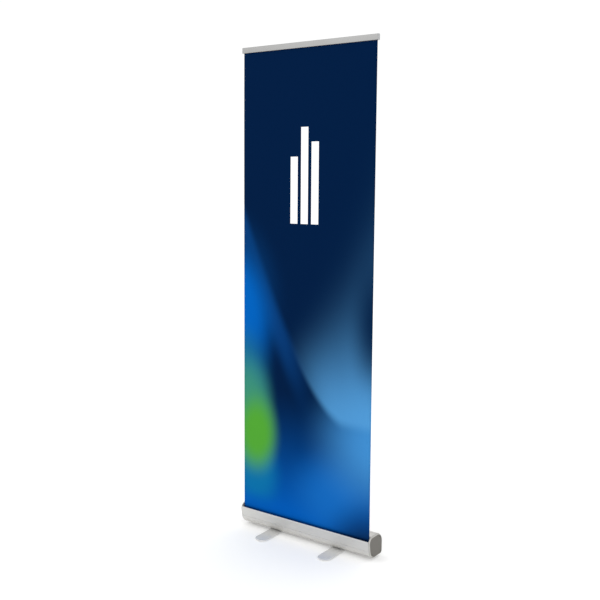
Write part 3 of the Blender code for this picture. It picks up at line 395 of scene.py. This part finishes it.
# Clear polyester film: pale, glossy, faintly blue along its cut edge.
leader_film, tree, shader = start_material("clear polyester film", 0.18)
place = add_node(tree, "ShaderNodeTexCoord", {}, {})
haze = add_node(tree, "ShaderNodeTexNoise", {}, {
    "Vector": place.outputs["Object"], "Scale": 1 / mm(18), "Detail": 3.0})
milky = add_node(tree, "ShaderNodeMix", {"data_type": "RGBA"}, {
    "Factor": haze.outputs["Fac"], "A": paint("#D5DCE2"), "B": paint("#EDF1F3")})
tree.links.new(milky.outputs["Result"], shader.inputs["Base Color"])
finish_with(leader_film, "leader_strip", "leader_wraps")


# ---- Printed film ------------------------------------------------------------------------------------------
# The banner is a thin polyester film, ink-jet printed and covered with a satin laminate. Its back is grey so
# that light doesn't shine through. It hangs between the top rail and the slot, held tight by the spring.

rail_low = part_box("top_rail")[0].z


# The print: a soft wash from navy through blue, with a green glow low on the left and a pale fold on the right.
# It is placed by its distance from the top rail, in the film's own coordinates.
def printed_film_material():
    material, tree, shader = start_material("satin laminated ink-jet print", 0.6)
    shader.inputs["Specular IOR Level"].default_value = 0.015
    coords = add_node(tree, "ShaderNodeTexCoord", {}, {})
    split = add_node(tree, "ShaderNodeSeparateXYZ", {}, {"Vector": coords.outputs["Object"]})
    across = add_node(tree, "ShaderNodeMapRange", {}, {
        "Value": split.outputs["X"], "From Min": film_low.x, "From Max": film_high.x}).outputs["Result"]
    up = add_node(tree, "ShaderNodeMapRange", {}, {
        "Value": split.outputs["Z"], "From Min": film_low.z, "From Max": rail_low}).outputs["Result"]
    plane = add_node(tree, "ShaderNodeCombineXYZ", {}, {"X": across, "Y": up})

    def maths(operation, first, second=0.0, third=0.0):
        return add_node(tree, "ShaderNodeMath", {"operation": operation}, {
            0: first, 1: second, 2: third}).outputs["Value"]

    def fade(value, low, high, to_low=0.0, to_high=1.0):
        step = add_node(tree, "ShaderNodeMapRange", {"interpolation_type": "SMOOTHERSTEP"}, {
            "Value": value, "From Min": low, "From Max": high, "To Min": to_low, "To Max": to_high})
        return step.outputs["Result"]

    def layer(under, ink, amount):
        laid = add_node(tree, "ShaderNodeMix", {"data_type": "RGBA"}, {
            "Factor": amount, "A": under, "B": paint(ink)})
        return laid.outputs["Result"]

    def glow(centre, size, tilt, edge, strength):
        """A soft oval: full inside edge times its size, gone at its size."""
        moved = add_node(tree, "ShaderNodeMapping", {"vector_type": "TEXTURE"}, {
            "Vector": plane.outputs["Vector"], "Location": (*centre, 0.0),
            "Rotation": (0.0, 0.0, math.radians(tilt)), "Scale": (*size, 1.0)})
        reach = add_node(tree, "ShaderNodeVectorMath", {"operation": "LENGTH"}, {0: moved.outputs["Vector"]})
        return fade(reach.outputs["Value"], 1.0, edge, 0.0, strength)

    # the ground is navy, and turns to a strong blue towards the foot of the sheet
    depth = add_node(tree, "ShaderNodeMapRange", {}, {"Value": up, "From Min": 0.29, "From Max": 0.02})
    ground = layer(paint("#001B3F"), "#0058B2", maths("POWER", depth.outputs["Result"], 1.6))
    ground = layer(ground, "#1468BA", glow((0.72, 0.075), (0.45, 0.130), 0, 0.0, 0.85))
    ground = layer(ground, "#3F8ACA", glow((1.06, 0.20), (0.66, 0.19), 0, 0.0, 0.97))
    ground = layer(ground, "#08254C", glow((1.02, -0.045), (0.49, 0.165), 0, 0.15, 0.97))

    # the fold: a pale edge that swoops down from the left and runs level to the right, fading upwards
    run = maths("MAXIMUM", maths("SUBTRACT", 0.80, across), 0.0)
    swoop = maths("MULTIPLY", maths("POWER", run, 1.6), 0.60)
    height = maths("SUBTRACT", maths("SUBTRACT", up, swoop), 0.237)
    spread = maths("MAXIMUM", maths("MULTIPLY_ADD", across, 0.34, -0.096), 0.03)
    share = maths("DIVIDE", maths("MAXIMUM", height, 0.0), spread)
    falloff = maths("EXPONENT", maths("MULTIPLY", maths("POWER", share, 2.0), -1.0))
    rise = fade(height, -0.020, 0.016)
    grown = fade(across, 0.33, 0.78, 0.0, 0.76)
    hollow = maths("SUBTRACT", 1.0, glow((1.05, 0.450), (0.30, 0.200), 0, 0.1, 0.95))
    pale = maths("MULTIPLY", maths("MULTIPLY", falloff, rise), maths("MULTIPLY", grown, hollow))
    under = maths("MULTIPLY", fade(height, -0.12, -0.02), fade(height, 0.045, -0.02))
    under = maths("MULTIPLY", under, fade(across, 0.62, 0.20, 0.0, 0.5))

    # the left side: a blue bloom that trails along under the fold, with a teal then a green glow below it
    ground = layer(ground, "#0A4A92", under)
    ground = layer(ground, "#5299D2", pale)
    ground = layer(ground, "#03386F", glow((0.0, 0.53), (0.42, 0.17), -10, 0.0, 0.8))
    ground = layer(ground, "#005EB6", glow((-0.02, 0.465), (0.36, 0.165), -14, 0.15, 0.98))
    ground = layer(ground, "#1C6F93", glow((-0.06, 0.29), (0.36, 0.165), 0, 0.25, 0.90))
    ground = layer(ground, "#0A72A2", glow((0.10, 0.09), (0.27, 0.11), 0, 0.2, 0.80))
    ground = layer(ground, "#3E8F6B", glow((0.02, 0.220), (0.30, 0.165), 0, 0.3, 0.80))
    ground = layer(ground, "#4FA030", glow((0.105, 0.180), (0.24, 0.120), 0, 0.20, 0.97))
    ground = layer(ground, "#0057B0", glow((0.10, -0.03), (0.60, 0.090), 0, 0.35, 0.90))

    # three plain upright bars of white ink, each with its own length
    bar_width = 0.055
    marks = None
    for left, low, high in ((0.377, 0.644, 0.782), (0.457, 0.644, 0.842), (0.537, 0.644, 0.812)):
        inside = maths("GREATER_THAN", across, left)
        inside = maths("MULTIPLY", inside, maths("LESS_THAN", across, left + bar_width))
        inside = maths("MULTIPLY", inside, maths("GREATER_THAN", up, low))
        inside = maths("MULTIPLY", inside, maths("LESS_THAN", up, high))
        marks = inside if marks is None else maths("ADD", marks, inside)
    ground = layer(ground, "#FBFBFB", marks)
    tree.links.new(ground, shader.inputs["Base Color"])

    # the laminate's rolled texture, a fraction of a millimetre across
    texture = add_node(tree, "ShaderNodeTexNoise", {}, {
        "Vector": coords.outputs["Object"], "Scale": 1 / mm(1.2), "Detail": 2.0})
    bump = add_node(tree, "ShaderNodeBump", {}, {
        "Height": texture.outputs["Fac"], "Strength": 0.06, "Distance": mm(0.05)})
    tree.links.new(bump.outputs["Normal"], shader.inputs["Normal"])
    return material


grey_back, tree, shader = start_material("grey backed polyester film", 0.5)
place = add_node(tree, "ShaderNodeTexCoord", {}, {})
mottle = add_node(tree, "ShaderNodeTexNoise", {}, {
    "Vector": place.outputs["Object"], "Scale": 1 / mm(60), "Detail": 3.0})
backing = add_node(tree, "ShaderNodeMix", {"data_type": "RGBA"}, {
    "Factor": mottle.outputs["Fac"], "A": paint("#B7B8BA"), "B": paint("#C6C7C9")})
tree.links.new(backing.outputs["Result"], shader.inputs["Base Color"])

film_thickness = mm(0.3)
columns, rows = 40, 120
sheet_mesh = bmesh.new()
# a flat map of the printed area, for anyone who wants to lay other artwork on it
uv_layer = sheet_mesh.loops.layers.uv.new("print")
grid = []
for row in range(rows + 1):
    share = row / rows
    z = film_low.z + (film_high.z - film_low.z) * share
    line = []
    for column in range(columns + 1):
        side = column / columns
        x = film_low.x + (film_high.x - film_low.x) * side
        # the film is flat at both ends and curls forward a little towards its long edges in between
        slack = math.sin(math.pi * share) ** 0.5 if 0 < share < 1 else 0.0
        curl = mm(1.4) * slack * abs(2 * side - 1) ** 4
        wave = mm(0.5) * slack * math.sin(2 * math.pi * (1.5 * side + 0.8 * share))
        line.append(sheet_mesh.verts.new((x, film_y - curl + wave, z)))
    grid.append(line)
for row in range(rows):
    for column in range(columns):
        face = sheet_mesh.faces.new([
            grid[row][column], grid[row][column + 1], grid[row + 1][column + 1], grid[row + 1][column]])
        for loop in face.loops:
            x, _, z = loop.vert.co
            across = (x - film_low.x) / (film_high.x - film_low.x)
            loop[uv_layer].uv = (across, (z - film_low.z) / (rail_low - film_low.z))
banner = piece_from("printed_banner", sheet_mesh, [printed_film_material(), grey_back], sharp=60)
solid = banner.modifiers.new("thickness", "SOLIDIFY")
solid.thickness = film_thickness
solid.offset = 0
solid.material_offset = 1
solid.material_offset_rim = 1
fixed_mesh(banner)
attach(banner, "rail")
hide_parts("graphic_sheet")
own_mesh(banner)


# ---- Top rail ----------------------------------------------------------------------------------------------
# A slim channel of the same anodised aluminium grips the top of the film with a bar pushed in beside it.
# Thin moulded caps close its ends, and the bar is taped to the film so that it can't pull out of the slot.

rail_box_low, rail_box_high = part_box("top_rail")
rail_y = (rail_box_low.y + rail_box_high.y) / 2
rail_half = (rail_box_high.y - rail_box_low.y) / 2
rail_corners = [
    (rail_y + mm(1.4), rail_box_low.z, 0),
    (rail_y + rail_half, rail_box_low.z, mm(1.1)),
    (rail_y + rail_half, rail_box_high.z, mm(2.2)),
    (rail_y - rail_half, rail_box_high.z, mm(2.2)),
    (rail_y - rail_half, rail_box_low.z, mm(1.1)),
    (rail_y - mm(1.4), rail_box_low.z, 0),
]
rail_outer = rounded_outline(rail_corners, 9)
rail_inner = inner_outline(rail_outer, mm(1.3))
rail_bar = bmesh.new()
extrude_section(rail_bar, rail_outer + list(reversed(rail_inner)), rail_box_low.x, rail_box_high.x)
rail_aluminium = anodised("fine satin anodised rail", ("#AEAEAD", "#A4A4A3"), 0, 0.46)
rail = piece_from("top_rail_extrusion", rail_bar, [rail_aluminium], sharp=24)
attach(rail, "rail")
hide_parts("top_rail")

pale_abs = moulded("pale grey ABS", "#A9AAAB", 0.45, 0.8)
finish_with(pale_abs, "rail_cap_left", "rail_cap_right")
finish_with(black_nylon, "clamp_bar")


# ---- Support pole ------------------------------------------------------------------------------------------
# Three drawn aluminium tubes slide in each other behind the film and are held by two ribbed nylon rings. The
# lowest stands in a socket screwed to the housing, and the tip of the highest sits in a cup behind the rail.

pole_aluminium = anodised("satin drawn pole tube", ("#CFCFCE", "#B7B7B6"), 2, 0.34)
finish_with(pole_aluminium, "pole_lower", "pole_middle", "pole_upper")
finish_with(black_nylon, "pole_tip", "pole_cup", "pole_socket", "collar_lower", "collar_upper")


# ---- Feet --------------------------------------------------------------------------------------------------
# Each foot is a flat aluminium strip with round ends, stamped, tumbled and brushed along its length. It turns
# on one bolt under the housing, with a nylon spacer between, and stands on two rubber pads let into it.

# brushed across a matt etch, so it scatters light about as much as it mirrors it
brushed_strip = anodised("brushed aluminium strip", ("#EDEDEC", "#DFDFDE"), 1, 0.62)
brushed_strip.node_tree.nodes["Principled BSDF"].inputs["Metallic"].default_value = 0.55
finish_with(brushed_strip, "foot_left", "foot_right")
finish_with(black_nylon, "spacer_left", "spacer_right")

# Moulded rubber: nearly black, dull, with a dusty bloom from the floor.
pad_rubber = moulded("moulded black rubber", "#1A1A19", 0.85, 1.1)
finish_with(pad_rubber, "pad_left_front", "pad_left_back", "pad_right_front", "pad_right_back")


# ---- Floor, light and camera -------------------------------------------------------------------------------
# A white seamless floor in an evenly white room, one large soft light high up in front on the left, and a
# camera a little under eye height in front on the right. The floor glows faintly, so that it stays white.

floor_paint, tree, shader = start_material("matt white studio floor", 0.9)
place = add_node(tree, "ShaderNodeTexCoord", {}, {})
scuffs = add_node(tree, "ShaderNodeTexNoise", {}, {
    "Vector": place.outputs["Object"], "Scale": 0.7, "Detail": 3.0})
white = add_node(tree, "ShaderNodeMix", {"data_type": "RGBA"}, {
    "Factor": scuffs.outputs["Fac"], "A": paint("#FCFCFC"), "B": paint("#FEFEFE")})
tree.links.new(white.outputs["Result"], shader.inputs["Base Color"])
shader.inputs["Specular IOR Level"].default_value = 0.0
shader.inputs["Emission Color"].default_value = (1.0, 1.0, 1.0, 1.0)
shader.inputs["Emission Strength"].default_value = 0.12
floor_mesh = bmesh.new()
bmesh.ops.create_grid(floor_mesh, x_segments=8, y_segments=8, size=40)
floor = piece_from("studio_floor", floor_mesh, [floor_paint])

world = bpy.data.worlds.new("studio")
world.use_nodes = True
world.node_tree.nodes["Background"].inputs["Color"].default_value = (1.0, 1.0, 1.0, 1.0)
world.node_tree.nodes["Background"].inputs["Strength"].default_value = 1.03
bpy.context.scene.world = world


def soft_light(name, place, aim, size, power):
    lamp = bpy.data.lights.new(name, "AREA")
    lamp.shape = "RECTANGLE"
    lamp.size, lamp.size_y = size
    lamp.energy = power
    made = bpy.data.objects.new(name, lamp)
    made.location = place
    made.rotation_euler = (Vector(aim) - Vector(place)).to_track_quat("-Z", "Y").to_euler()
    bpy.context.scene.collection.objects.link(made)


soft_light("key", (-1.8, -3.6, 3.6), (0, 0, 0.8), (2.5, 2.5), 18)

camera_data = bpy.data.cameras.new("camera")
camera = bpy.data.objects.new("camera", camera_data)
bpy.context.scene.collection.objects.link(camera)
camera_data.sensor_width = 36
camera_data.lens = 51.41
camera_data.shift_y = -0.03
camera.location = (1.8626, -2.6921, 1.4118)
heading, dip, lean = 35.402, 6.627, 0.394
look = Vector((
    -math.sin(math.radians(heading)) * math.cos(math.radians(dip)),
    math.cos(math.radians(heading)) * math.cos(math.radians(dip)),
    -math.sin(math.radians(dip)),
))
aim = look.to_track_quat("-Z", "Y").to_matrix().to_4x4()
camera.matrix_world = Matrix.Translation(camera.location) @ aim @ Matrix.Rotation(math.radians(lean), 4, "Z")
bpy.context.scene.camera = camera
bpy.context.scene.view_settings.view_transform = "Standard"
